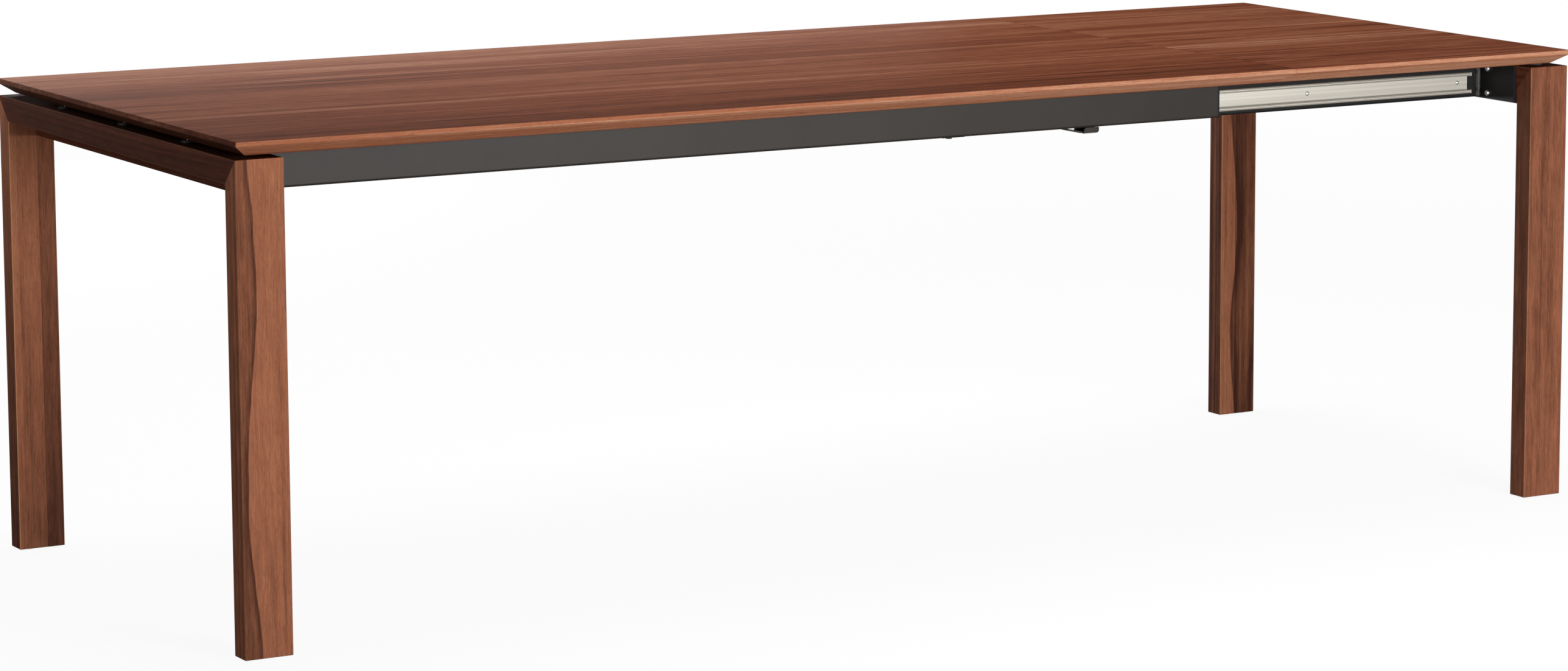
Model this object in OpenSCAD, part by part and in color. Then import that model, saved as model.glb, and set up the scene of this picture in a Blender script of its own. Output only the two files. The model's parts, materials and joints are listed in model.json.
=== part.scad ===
// Extending dining table: walnut top on two mitred leg frames, steel beams, one leaf.
// Origin: on the floor under the middle of the extended table. +X is the end that draws out,
// +Y is the back, +Z is up. The table is drawn extended, with its leaf in place. Millimetres.

/* [Table top] */
// Height of the top's upper face above the floor
top_height = 740; // [700:1:790]
// Length of the main top
main_len = 1800; // [1600:5:2200]
// Length of the leaf along the table, which is also how far the leg frame draws out
leaf_len = 545; // [450:5:600]
// Width of the top
top_w = 935; // [860:5:1050]
// Thickness of the top
top_t = 22; // [20:1:28]
// Height of the upright band at the top's edge, above the bevel
band_h = 7; // [5:0.5:9]
// How far the bevel cuts in under the edge
bevel_in = 22; // [12:1:30]
// Size of the broken corner along the top's upper edge
top_arris = 0.8; // [0.3:0.1:2]
// Gap between main top and leaf
seam = 0.4; // [0.2:0.1:1]

/* [Leg frames] */
// Depth of a leg along the table
leg_x = 74; // [60:1:90]
// Width of a leg across the table, and height of the crossbar
leg_y = 38; // [32:1:48]
// How far the top stands out past the legs at the sides
side_overhang = 5; // [0:1:15]
// Shadow gap between the leg frames and the top
shadow_gap = 4; // [3.5:0.5:8]
// Broken corner along the legs and crossbars
leg_arris = 1; // [0.5:0.25:2]
// Thickness of the wooden rail under each crossbar
inner_rail_t = 28; // [20:1:34]
// Height of the wooden rail under each crossbar
inner_rail_h = 24; // [20:1:40]
// Thickness of the spline in each mitre
spline_t = 6; // [4:0.5:10]
// Width of the spline along the table
spline_w = 46; // [30:1:54]
// Reach of the spline into each side of the mitre
spline_reach = 14; // [8:1:18]

/* [Glides] */
// Diameter of a glide under a leg
glide_d = 26; // [18:1:30]
// How far a glide stands below its leg
glide_proud = 1.5; // [1:0.25:4]
// Depth of the recess that holds a glide
glide_recess = 3; // [2:0.5:8]

/* [Steel frame] */
// Thickness of the cross plates on the leg frames
plate_t = 5; // [4:0.5:8]
// Height of the cross plates
plate_h = 58; // [50:1:60]
// Gap between a cross plate's end and the leg beside it
plate_end_gap = 2; // [0.5:0.5:10]
// Width of a fixed side beam
fixed_w = 30; // [25:1:50]
// Height of a fixed side beam
fixed_h = 60; // [50:1:70]
// Wall of a fixed side beam
fixed_wall = 2.5; // [2:0.25:4]
// Distance from the leg's outer face in to the fixed beam
fixed_inset = 87.5; // [70:0.5:110]
// Width of a sliding beam
slide_w = 30; // [25:1:40]
// Height of a sliding beam
slide_h = 60; // [54:1:70]
// Wall of a sliding beam
slide_wall = 2; // [1.5:0.25:3]
// Gap between the fixed beam and the lips of the slide rail
beam_gap = 2.5; // [2:0.5:10]
// Length of a sliding beam left of its slide rail
slide_tail = 62.5; // [55:0.5:120]
// Outer corner radius of the steel beams
beam_r = 4; // [3:0.25:6]
// Size of the weld bead beside a sliding beam
bead_r = 5; // [3:0.5:7]

/* [End caps and stops] */
// Thickness of the cap on a fixed beam
cap_t = 4; // [3:0.5:8]
// Gap left at a stop: caps to screw heads when closed, rollers to stop blocks when drawn out
stop_gap = 0.3; // [0.2:0.1:1]
// Thickness of the flange of a sliding beam's plug
plug_t = 3; // [2:0.5:5]
// Reach of a cap or plug into its beam
plug_reach = 10; // [6:1:15]

/* [Slide rails] */
// Height of a C rail
rail_h = 34; // [30:1:40]
// Depth of a C rail
rail_d = 15; // [14:0.5:20]
// Thickness of the rail's web and flanges
rail_wall = 2.5; // [2:0.25:3]
// Height of a rail lip, flange included
rail_lip = 5.5; // [4.5:0.25:7]
// Width of the groove along each lip
lip_groove = 1.2; // [0.5:0.1:1.6]
// Distance from the sliding beam's upper face down to the rail
rail_drop = 17; // [6:0.5:22]
// Gap between the rail's end and the cross plate
rail_end_gap = 25; // [15:1:60]
// Rail left of the rear roller when the table is drawn out
rail_tail = 139; // [80:1:200]
// Distance of the first rail screw from the rail's end
rail_screw_end = 20; // [12:1:30]
// Diameter of a rail screw
rail_screw_d = 4; // [3:0.5:5]
// Head diameter of a rail screw
rail_head_d = 7; // [5.5:0.5:8]
// Head height of a rail screw
rail_head_h = 1.8; // [1:0.1:2.2]
// Length of the stop block in a rail
rail_stop_len = 20; // [12:1:40]

/* [Rollers] */
// Distance between the two rollers of a side
roller_span = 240; // [180:5:300]
// Running play of a roller in its rail, over both flanges
roller_play = 1; // [0.6:0.1:1.6]
// Gap under a roller
roller_seat = 0.3; // [0.1:0.1:0.4]
// Width of a roller
roller_w = 7; // [5:0.25:7]
// Gap between a roller and the rail's lips
roller_side = 0.5; // [0.3:0.1:1]
// Diameter of a roller's bolt
bolt_d = 8; // [6:0.5:10]
// Diameter of the collar between the roller and the fixed beam
collar_d = 14; // [12:0.5:18]
// Running clearance on the radius
running = 0.08; // [0.03:0.01:0.1]

/* [Cross ties] */
// Number of flat ties under the main top
tie_count = 3; // [2:1:5]
// Width of a tie
tie_w = 60; // [40:1:90]
// Thickness of a tie
tie_t = 3; // [2.5:0.25:3]
// Distance from the left cross plate to the first tie's middle
tie_first = 250; // [100:5:400]
// Distance from the fixed beam's end to the last tie's middle
tie_last = 62; // [40:1:200]
// Distance of the outer tie screws from the table's middle line
tie_screw_y = 240; // [100:5:270]
// Depth of the rear tie along the table
rear_tie_w = 40; // [30:1:50]
// Thickness of the rear tie
rear_tie_t = 3; // [2.5:0.25:3]
// Diameter of a rear tie bolt
tie_bolt_d = 6; // [5:0.5:8]
// Diameter of a rear tie bolt's head over its corners
tie_bolt_head_d = 11; // [10:0.5:14]
// Height of a rear tie bolt's head
tie_bolt_head_h = 3; // [2:0.25:4]

/* [Clamp levers] */
// Distance from the rear roller to the lever's shaft
lever_offset = 51; // [40:0.5:120]
// Diameter of the lever's shaft
lever_shaft_d = 5; // [4:0.5:6]
// Depth of the shaft's middle below the fixed beam
lever_drop = 4.5; // [4.5:0.25:6.5]
// Length of the lever from its shaft to its tip
lever_len = 50; // [38:1:70]
// Length of the lever's level part
lever_flat = 27; // [15:1:32]
// Thickness of the lever's strip
lever_t = 3; // [2:0.25:3.5]
// Width of the lever's strip
lever_w = 20; // [10:1:22]
// Length of a bracket ear from the shaft to its left end
ear_len = 25; // [12:1:30]
// Thickness of a bracket ear
ear_t = 3; // [2:0.25:3.5]
// Lift of the cam: how far its middle lies above the shaft's middle
cam_lift = 1.2; // [0.5:0.1:2]
// Gap between the cam and the slide rail
cam_gap = 0.3; // [0.2:0.1:0.6]
// Gap between the cam and the sliding beam beside it
cam_side = 1.5; // [1:0.25:3]

/* [Screws] */
// Diameter of the cross plate screws' heads
plate_head_d = 9.5; // [8:0.5:12]
// Height of the cross plate screws' heads
plate_head_h = 3.5; // [2:0.25:4]
// Width of the cross recess in the cross plate screws
recess_w = 1.2; // [0.8:0.1:1.6]
// Diameter of the cross plate screws
plate_screw_d = 5; // [4:0.5:6]
// Length of the cross plate screws
plate_screw_len = 28; // [18:1:40]
// Upright distance between the two screws of a pair
plate_screw_pitch = 40; // [30:1:44]
// Diameter of the wood screws under the top
wood_screw_d = 4; // [3:0.5:5]
// Depth that screws reach into the top
wood_screw_in = 14; // [8:1:16]

/* [Leaf dowels] */
// Number of dowels
dowel_count = 3; // [2:1:5]
// Diameter of a dowel
dowel_d = 8; // [6:0.5:10]
// Reach of a dowel into the main top
dowel_reach = 45; // [35:1:70]
// Depth of a dowel in the leaf
dowel_root = 40; // [30:1:60]
// Wall of a dowel bush
bush_wall = 1.5; // [1:0.25:2]
// Distance of the outer dowels from the table's middle line
dowel_y = 380; // [200:5:420]
// Diameter of a felt pad under the leaf
felt_d = 20; // [10:1:25]
// Gap between a felt pad and the frame below it
felt_gap = 0.3; // [0.1:0.1:0.5]

/* [Hidden] */
$fn = 48;
total_len = main_len + leaf_len;
x_left = -total_len / 2;
x_right = total_len / 2;
x_seam = x_left + main_len;
z_under = top_height - top_t;
z_band = top_height - band_h;
z_frame = z_under - shadow_gap;
frame_y = top_w / 2 - side_overhang;
leg_in_y = frame_y - leg_y;
half_top = top_w / 2;
travel = leaf_len;
hole_play = 0.1;

bar_bottom = z_frame - leg_y;
inner_bottom = bar_bottom - inner_rail_h;
plate_top = z_frame - 2;
plate_bottom = plate_top - plate_h;
plate_y = leg_in_y - plate_end_gap;

left_plate_x = x_left + leg_x;
right_plate_x = x_right - leg_x - plate_t;

fixed_out = frame_y - fixed_inset;
fixed_in = fixed_out - fixed_w;
fixed_bottom = z_under - fixed_h;
fixed_x0 = left_plate_x + plate_t;
fixed_end = right_plate_x - travel - plate_head_h - stop_gap;

rail_lips = fixed_in - beam_gap;
slide_out = rail_lips - rail_d;
slide_in = slide_out - slide_w;
slide_mid = (slide_out + slide_in) / 2;
slide_bottom = z_frame - slide_h;
rail_top = z_frame - rail_drop;
rail_bottom = rail_top - rail_h;
rail_z = (rail_top + rail_bottom) / 2;
roller_d = rail_h - 2 * rail_wall - roller_play;
roller_z = rail_bottom + rail_wall + roller_seat + roller_d / 2;
roller_margin = 8;
rail_len = travel + rail_tail + roller_span + roller_d / 2 + roller_margin;
rail_x1 = right_plate_x - rail_end_gap;
rail_x0 = rail_x1 - rail_len;
slide_x0 = rail_x0 - slide_tail;
rear_roller_x = rail_x0 + rail_tail;
front_roller_x = rear_roller_x + roller_span;
roller_out = rail_lips - rail_wall - roller_side;
roller_in = roller_out - roller_w;

tie_x0 = fixed_x0 + tie_first;
tie_x1 = fixed_end - tie_last;
tie_z = z_under - tie_t;
tie_y = fixed_in + beam_r - sqrt(pow(beam_r, 2) - pow(beam_r - tie_t, 2));
rear_tie_x = slide_x0 + rear_tie_w / 2;
rear_tie_z = slide_bottom - rear_tie_t;

lever_x = rear_roller_x + lever_offset;
lever_z = fixed_bottom - lever_drop;
lever_mid = fixed_in + fixed_w / 2;
hub_r = lever_drop - 0.4;
cam_r = rail_bottom - cam_gap - lever_z - cam_lift;
cam_in = slide_out + cam_side;
cam_w = rail_d - 2 * cam_side;

plate_screw_z = (plate_top + plate_bottom) / 2;
left_screws_y = [120, slide_out];
right_screws_y = [120, slide_out + 26];
dowel_z = z_under + top_t / 2;
bush_back = 3;
rail_screw_in = 10;
bolt_reach = 10;
bevel_run = (z_band - dowel_z + dowel_d / 2 + bush_wall) / (z_band - z_under) * bevel_in;

walnut = "#6b4630";
walnut_dark = "#523524";
steel = "#2e2d2c";
plate_black = "#1d1d1e";
alu = "#c9cac8";
zinc = "#9b9c9e";
nylon = "#dcdad2";
beech = "#cfa678";
brass = "#b08d45";
rubber = "#242424";

// Draws a YZ outline from x0, len long towards +X
module along_x(x0, len) translate([x0, 0, 0]) rotate([90, 0, 90]) linear_extrude(len) children();

// Draws an XZ outline, len wide across the middle line
module along_y(len) translate([0, len / 2, 0]) rotate([90, 0, 0]) linear_extrude(len) children();

// Rod along X from x0
module rod_x(x0, y, z, d, len) translate([x0, y, z]) rotate([0, 90, 0]) cylinder(h = len, d = d);

// Rod along Y from y0
module rod_y(x, y0, z, d, len) translate([x, y0, z]) rotate([-90, 0, 0]) cylinder(h = len, d = d);

// Keeps a piece drawn at the back, or mirrors it to the front
module side(name) mirror([0, name == "front" ? 1 : 0, 0]) children();

// Draws a piece at the back and at the front
module both_sides() {
    side("back") children();
    side("front") children();
}

// Rectangle from two corners with rounded corners, in exact arcs
module round_rect(x0, y0, x1, y1, r) {
    translate([x0 + r, y0]) square([x1 - x0 - 2 * r, y1 - y0]);
    translate([x0, y0 + r]) square([x1 - x0, y1 - y0 - 2 * r]);
    for (x = [x0 + r, x1 - r], y = [y0 + r, y1 - r]) translate([x, y]) circle(r);
}

// Outline of a rectangular tube
module tube_outline(y0, z0, y1, z1, wall) difference() {
    round_rect(y0, z0, y1, z1, beam_r);
    round_rect(y0 + wall, z0 + wall, y1 - wall, z1 - wall, beam_r - wall / 2);
}

// Table top: the cross outline and the long outline, crossed
module bevelled_board(long_outline) intersection() {
    along_x(x_left - bevel_in, total_len + 2 * bevel_in) polygon([
        [-half_top + bevel_in, z_under], [half_top - bevel_in, z_under], [half_top, z_band],
        [half_top, top_height - top_arris], [half_top - top_arris, top_height],
        [top_arris - half_top, top_height], [-half_top, top_height - top_arris],
        [-half_top, z_band]]);
    along_y(top_w) polygon(long_outline);
}

function dowel_ys() = [for (i = [0:dowel_count - 1]) dowel_y * (2 * i / (dowel_count - 1) - 1)];
function tie_xs() = [for (i = [0:tie_count - 1]) tie_x0 + (tie_x1 - tie_x0) * i / (tie_count - 1)];
function tie_screw_places() = [for (x = tie_xs(), i = [-1:1]) [x, i * tie_screw_y]];
function left_top_places() = [for (i = [-1:1]) [x_left + (leg_x - inner_rail_t) / 2, i * tie_screw_y]];
function glide_places(x0) = [for (x = [x0 + leg_x * 0.27, x0 + leg_x * 0.73]) x];

module main_top() color(walnut) difference() {
    bevelled_board([
        [x_left + bevel_in, z_under], [x_seam - bevel_in, z_under], [x_seam, z_band],
        [x_seam, top_height - top_arris / 2], [x_seam - top_arris / 2, top_height],
        [x_left + top_arris, top_height], [x_left, top_height - top_arris], [x_left, z_band]]);
    for (y = dowel_ys())
        rod_x(x_seam - dowel_reach - bush_back, y, dowel_z, dowel_d + 2 * bush_wall,
              dowel_reach + bush_back + 1);
    for (p = concat(tie_screw_places(), left_top_places()))
        translate([p[0], p[1], z_under - 1]) cylinder(h = wood_screw_in + 1, d = wood_screw_d);
}

module leaf_top() color(walnut) difference() {
    bevelled_board([
        [x_seam + seam - bevel_in, z_under], [x_right - bevel_in, z_under], [x_right, z_band],
        [x_right, top_height - top_arris], [x_right - top_arris, top_height],
        [x_seam + seam + top_arris / 2, top_height],
        [x_seam + seam, top_height - top_arris / 2], [x_seam + seam, z_band]]);
    for (y = dowel_ys())
        rod_x(x_seam - bevel_in, y, dowel_z, dowel_d, bevel_in + dowel_root);
}

module leaf_dowels() color(beech) for (y = dowel_ys())
    rod_x(x_seam - dowel_reach, y, dowel_z, dowel_d, dowel_reach + dowel_root);

module dowel_bushes() color(brass) for (y = dowel_ys()) difference() {
    rod_x(x_seam - dowel_reach - bush_back, y, dowel_z, dowel_d + 2 * bush_wall,
          dowel_reach + bush_back - bevel_run);
    rod_x(x_seam - dowel_reach - bush_back + bush_wall, y, dowel_z, dowel_d + 2 * running,
          dowel_reach + bush_back);
}

// Felt pads over the sliding beams and over the crossbar
module leaf_felt_pads() color(rubber) both_sides() {
    for (x = [x_seam + leaf_len * 0.25, x_seam + leaf_len * 0.6])
        translate([x, slide_mid, z_frame + felt_gap])
            cylinder(h = shadow_gap - felt_gap, d = felt_d);
    for (y = [slide_in / 2, leg_in_y])
        translate([x_right - leg_x / 2, y, z_frame + felt_gap])
            cylinder(h = shadow_gap - felt_gap, d = felt_d);
}

// Leg with its mitre at the top, drawn at the back
module leg(x0, name) color(walnut_dark) side(name) difference() {
    intersection() {
        along_x(x0, leg_x) polygon([
            [leg_in_y, glide_proud], [frame_y, glide_proud], [frame_y, z_frame],
            [leg_in_y, bar_bottom]]);
        translate([0, 0, glide_proud]) linear_extrude(z_frame)
            chamfered(x0, leg_in_y, x0 + leg_x, frame_y, leg_arris);
    }
    mitre_spline(x0, hole_play);
    for (x = glide_places(x0))
        translate([x, frame_y - leg_y / 2, 0])
            cylinder(h = glide_proud + glide_recess, d = glide_d);
}

// Rectangle from two corners with cut corners
module chamfered(x0, y0, x1, y1, c) polygon([
    [x0 + c, y0], [x1 - c, y0], [x1, y0 + c], [x1, y1 - c], [x1 - c, y1], [x0 + c, y1],
    [x0, y1 - c], [x0, y0 + c]]);

module crossbar(x0, to_top) color(walnut) difference() {
    intersection() {
        along_x(x0, leg_x) polygon([
            [-leg_in_y, bar_bottom], [leg_in_y, bar_bottom], [frame_y, z_frame],
            [-frame_y, z_frame]]);
        along_y(2 * frame_y) chamfered(x0, bar_bottom, x0 + leg_x, z_frame, leg_arris);
    }
    both_sides() mitre_spline(x0, hole_play);
    plate_holes(x0);
    if (to_top) for (p = left_top_places()) translate([p[0], p[1], bar_bottom - 1]) {
        cylinder(h = leg_y + 2, d = wood_screw_d + 2 * hole_play);
        cylinder(h = leg_y / 2 + 1, d = 3 * wood_screw_d);
    }
}

// Pilot holes of the cross plate screws in the wood of one leg frame
module plate_holes(x0) {
    left = x0 < 0;
    for (p = plate_screw_places(left ? left_screws_y : right_screws_y))
        rod_x(left ? x0 + leg_x + 1 - plate_screw_len : x0 - 1, p[0], p[1], plate_screw_d,
              plate_screw_len);
}

function plate_screw_places(ys) = [for (y = concat(-ys, ys), s = [-1, 1])
    [y, plate_screw_z + s * plate_screw_pitch / 2]];

// Spline across a mitre, with play all round for its slot
module mitre_spline(x0, play) translate([x0 + leg_x / 2, frame_y - leg_y / 2, z_frame - leg_y / 2])
    rotate([45, 0, 0])
        cube([spline_w + 2 * play, 2 * spline_reach + 2 * play, spline_t + 2 * play],
             center = true);

module inner_rail(x0) color(walnut) difference() {
    translate([x0 < 0 ? x0 + leg_x - inner_rail_t : x0, -leg_in_y, inner_bottom])
        cube([inner_rail_t, 2 * leg_in_y, inner_rail_h]);
    plate_holes(x0);
}

module splines(x0) color(beech) both_sides() mitre_spline(x0, 0);

module glides(x0) color(nylon) both_sides() for (x = glide_places(x0))
    translate([x, frame_y - leg_y / 2, 0]) cylinder(h = glide_proud + glide_recess, d = glide_d);

module cross_plate(x0, ys) color(plate_black) difference() {
    translate([x0, -plate_y, plate_bottom]) cube([plate_t, 2 * plate_y, plate_h]);
    for (p = plate_screw_places(ys))
        rod_x(x0 - 1, p[0], p[1], plate_screw_d, plate_t + 2);
}

// Pan-head screws with a cross recess; face is the plate's open face, dir points into the wood
module plate_screws(face, dir, ys) color(steel) for (p = plate_screw_places(ys))
    translate([face, p[0], p[1]]) rotate([0, dir * 90, 0]) difference() {
        union() {
            cylinder(h = plate_screw_len, d = plate_screw_d);
            translate([0, 0, -plate_head_h * 0.6]) cylinder(h = plate_head_h * 0.6, d = plate_head_d);
            translate([0, 0, -plate_head_h]) cylinder(h = plate_head_h, d = plate_head_d * 0.7);
        }
        translate([0, 0, -plate_head_h]) for (a = [0, 90]) rotate(a)
            cube([plate_head_d * 0.5, recess_w, plate_head_h], center = true);
    }

module left_top_spacers() color(rubber) for (p = left_top_places())
    translate([p[0], p[1], z_frame]) difference() {
        cylinder(h = shadow_gap, d = 5 * wood_screw_d);
        translate([0, 0, -1]) cylinder(h = shadow_gap + 2, d = wood_screw_d + 2 * hole_play);
    }

// Screws from the crossbar's counterbore up into the top
module left_top_screws() color(zinc) for (p = left_top_places())
    translate([p[0], p[1], bar_bottom + leg_y / 2]) {
        cylinder(h = z_under + wood_screw_in - bar_bottom - leg_y / 2, d = wood_screw_d);
        translate([0, 0, -wood_screw_d / 2]) cylinder(h = wood_screw_d / 2, d = 2 * wood_screw_d);
    }

module fixed_beam(name) color(steel) side(name) difference() {
    along_x(fixed_x0, fixed_end - cap_t - fixed_x0)
        tube_outline(fixed_in, fixed_bottom, fixed_out, z_under, fixed_wall);
    for (x = [rear_roller_x, front_roller_x])
        rod_y(x, fixed_in - 1, roller_z, bolt_d, fixed_wall + 2);
}

module fixed_beam_caps() color(plate_black) both_sides() {
    along_x(fixed_end - cap_t, cap_t)
        round_rect(fixed_in, fixed_bottom, fixed_out, z_under, beam_r);
    along_x(fixed_end - cap_t - plug_reach, plug_reach)
        round_rect(fixed_in + fixed_wall, fixed_bottom + fixed_wall, fixed_out - fixed_wall,
                   z_under - fixed_wall, beam_r - fixed_wall / 2);
}

// Flat ties under the main top, between the fixed beams
module cross_ties() color(steel) for (x = tie_xs()) difference() {
    translate([x - tie_w / 2, -tie_y, tie_z]) cube([tie_w, 2 * tie_y, tie_t]);
    for (p = tie_screw_places())
        translate([p[0], p[1], tie_z - 1]) cylinder(h = tie_t + 2, d = wood_screw_d);
}

module tie_screws() color(zinc) for (p = tie_screw_places()) translate([p[0], p[1], tie_z]) {
    cylinder(h = tie_t + wood_screw_in, d = wood_screw_d);
    translate([0, 0, -wood_screw_d / 2]) cylinder(h = wood_screw_d / 2, d = 2 * wood_screw_d);
}

// Sliding beam with the weld bead at its outer face
module slide_beam(name) color(steel) side(name) difference() {
    union() {
        along_x(slide_x0, right_plate_x - slide_x0)
            tube_outline(slide_in, slide_bottom, slide_out, z_frame, slide_wall);
        intersection() {
            translate([right_plate_x, slide_out, slide_bottom + beam_r])
                cylinder(h = slide_h - 2 * beam_r, r = bead_r);
            translate([right_plate_x - 2 * bead_r, slide_out - slide_wall, slide_bottom])
                cube([2 * bead_r, 2 * bead_r, plate_top - slide_bottom - beam_r]);
        }
    }
    for (x = rail_screw_xs()) 
        rod_y(x, slide_out - slide_wall - 1, rail_z, rail_screw_d, slide_wall + 2);
    translate([rear_tie_x, slide_mid, slide_bottom - 1])
        cylinder(h = slide_wall + 2, d = tie_bolt_d);
}

module slide_beam_plugs() color(rubber) both_sides() {
    along_x(slide_x0 - plug_t, plug_t)
        round_rect(slide_in, slide_bottom, slide_out, z_frame, beam_r);
    along_x(slide_x0, plug_reach) round_rect(slide_in + slide_wall, slide_bottom + slide_wall,
        slide_out - slide_wall, z_frame - slide_wall, beam_r - slide_wall / 2);
}

function rail_screw_xs() = [for (i = [0:3])
    rail_x0 + rail_screw_end + (rail_len - 2 * rail_screw_end) * i / 3];

// C rail, open to the outside, with a groove along each lip
module slide_rail(name) color(alu) side(name) difference() {
    along_x(rail_x0, rail_len) difference() {
        translate([slide_out, rail_bottom]) square([rail_d, rail_h]);
        translate([slide_out + rail_wall, rail_bottom + rail_wall])
            square([rail_d - 2 * rail_wall, rail_h - 2 * rail_wall]);
        translate([slide_out + rail_wall, rail_bottom + rail_lip])
            square([rail_d, rail_h - 2 * rail_lip]);
        for (z = [rail_bottom + rail_lip / 2, rail_top - rail_lip / 2])
            translate([rail_lips - lip_groove / 2, z - lip_groove / 2])
                square([lip_groove, lip_groove]);
    }
    for (x = rail_screw_xs()) rod_y(x, slide_out - 1, rail_z, rail_screw_d, rail_wall + 2);
}

// Button-head screws through the rail's web into the sliding beam
module rail_screws() color(zinc) both_sides() for (x = rail_screw_xs()) difference() {
    union() {
        rod_y(x, slide_out - rail_screw_in, rail_z, rail_screw_d, rail_screw_in + rail_wall);
        rod_y(x, slide_out + rail_wall, rail_z, rail_head_d, rail_head_h * 0.6);
        rod_y(x, slide_out + rail_wall, rail_z, rail_head_d * 0.75, rail_head_h);
    }
    translate([x, slide_out + rail_wall + rail_head_h, rail_z]) rotate([90, 0, 0])
        cylinder(h = rail_head_h, d = 0.6 * rail_screw_d, $fn = 6, center = true);
}

// Stop blocks that meet the rear rollers when the table is drawn out
module rail_stops() color(steel) both_sides()
    translate([rear_roller_x - roller_d / 2 - stop_gap - rail_stop_len, roller_in,
               rail_bottom + rail_wall])
        cube([rail_stop_len, rail_lips - rail_wall - roller_in, rail_h - 2 * rail_wall]);

module rear_tie() color(steel) difference() {
    translate([slide_x0, -slide_out, rear_tie_z]) cube([rear_tie_w, 2 * slide_out, rear_tie_t]);
    for (y = [-slide_mid, slide_mid])
        translate([rear_tie_x, y, rear_tie_z - 1]) cylinder(h = rear_tie_t + 2, d = tie_bolt_d);
}

// Hexagon bolts from below
module rear_tie_bolts() color(steel) both_sides() translate([rear_tie_x, slide_mid, rear_tie_z]) {
    translate([0, 0, -tie_bolt_head_h]) cylinder(h = tie_bolt_head_h, d = tie_bolt_head_d, $fn = 6);
    cylinder(h = rear_tie_t + slide_wall + bolt_reach, d = tie_bolt_d);
}

// Roller, drawn at the back; its bolt's head sits in a counterbore on the web side
module roller(x, name) color(nylon) side(name) difference() {
    rod_y(x, roller_in, roller_z, roller_d, roller_w);
    rod_y(x, roller_in - 1, roller_z, bolt_d + 2 * running, roller_w + 2);
    rod_y(x, roller_in - 1, roller_z, bolt_d * 1.6, 3);
}

module roller_bolts() color(zinc) both_sides() for (x = [rear_roller_x, front_roller_x]) {
    rod_y(x, roller_in + 0.2, roller_z, bolt_d * 1.5, 1.7);
    rod_y(x, roller_in + 0.2, roller_z, bolt_d, fixed_in + fixed_wall + bolt_reach - roller_in);
    rod_y(x, roller_out + 0.1, roller_z, collar_d, fixed_in - roller_out - 0.1);
    translate([x, fixed_in + fixed_wall, roller_z]) rotate([-90, 0, 0])
        cylinder(h = 6, d = 1.7 * bolt_d, $fn = 6);
}

// Ears under the fixed beam, one at each end of the lever's shaft
module lever_ears(name) color(steel) side(name)
    for (y = [fixed_in, fixed_out - ear_t]) difference() {
        translate([0, y + ear_t / 2, 0]) along_y(ear_t) {
            translate([lever_x, lever_z]) circle(lever_drop);
            polygon([[lever_x, lever_z - lever_drop], [lever_x - ear_len, lever_z - lever_drop],
                [lever_x - ear_len + lever_drop, fixed_bottom], [lever_x + lever_drop, fixed_bottom],
                [lever_x + lever_drop, lever_z]]);
        }
        rod_y(lever_x, y - 1, lever_z, lever_shaft_d + 2 * running, ear_t + 2);
    }

// Lever folded up against the beam: shaft, bent strip and the cam under the slide rail
module clamp_lever(name) color(plate_black) side(name) {
    strip_z = lever_z - hub_r;
    tip_z = fixed_bottom - lever_t - 0.5;
    rod_y(lever_x, cam_in, lever_z, lever_shaft_d, fixed_out - cam_in);
    rod_y(lever_x, cam_in, lever_z + cam_lift, 2 * cam_r, cam_w);
    translate([0, lever_mid, 0]) along_y(lever_w) {
        translate([lever_x, lever_z]) circle(hub_r);
        polygon([[lever_x, strip_z], [lever_x, strip_z + lever_t],
            [lever_x - lever_flat, strip_z + lever_t],
            [lever_x - lever_len, tip_z + lever_t], [lever_x - lever_len, tip_z],
            [lever_x - lever_flat, strip_z]]);
    }
}

main_top();
leaf_top();
leaf_dowels();
dowel_bushes();
leaf_felt_pads();
leg(x_left, "front");  // left_leg_front
leg(x_left, "back");  // left_leg_back
crossbar(x_left, true);  // left_crossbar
inner_rail(x_left);  // left_inner_rail
splines(x_left);  // left_splines
glides(x_left);  // left_glides
cross_plate(left_plate_x, left_screws_y);  // left_cross_plate
plate_screws(fixed_x0, -1, left_screws_y);  // left_plate_screws
left_top_spacers();
left_top_screws();
leg(x_right - leg_x, "front");  // right_leg_front
leg(x_right - leg_x, "back");  // right_leg_back
crossbar(x_right - leg_x, false);  // right_crossbar
inner_rail(x_right - leg_x);  // right_inner_rail
splines(x_right - leg_x);  // right_splines
glides(x_right - leg_x);  // right_glides
cross_plate(right_plate_x, right_screws_y);  // right_cross_plate
plate_screws(right_plate_x, 1, right_screws_y);  // right_plate_screws
fixed_beam("front");  // fixed_beam_front
fixed_beam("back");  // fixed_beam_back
fixed_beam_caps();
cross_ties();
tie_screws();
slide_beam("front");  // slide_beam_front
slide_beam("back");  // slide_beam_back
slide_beam_plugs();
slide_rail("front");  // slide_rail_front
slide_rail("back");  // slide_rail_back
rail_screws();
rail_stops();
rear_tie();
rear_tie_bolts();
roller_bolts();
roller(rear_roller_x, "front");  // roller_front_rear
roller(front_roller_x, "front");  // roller_front_fore
roller(rear_roller_x, "back");  // roller_back_rear
roller(front_roller_x, "back");  // roller_back_fore
lever_ears("front");  // lever_ears_front
lever_ears("back");  // lever_ears_back
clamp_lever("front");  // clamp_lever_front
clamp_lever("back");  // clamp_lever_back
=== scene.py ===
# %% [markdown]
# # An extending dining table in oiled walnut
#
# The construction of this table is already drawn: every board, beam, rail and screw is there at
# its real size. This notebook gives it its looks. It sets the camera and the light, makes each
# finish from nodes, and models the small things that a plain solid leaves out, such as weld
# beads, domed screw heads and rounded arrises.

# %% Load the table
import json
import math

import bpy
from mathutils import Matrix, Vector


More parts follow.
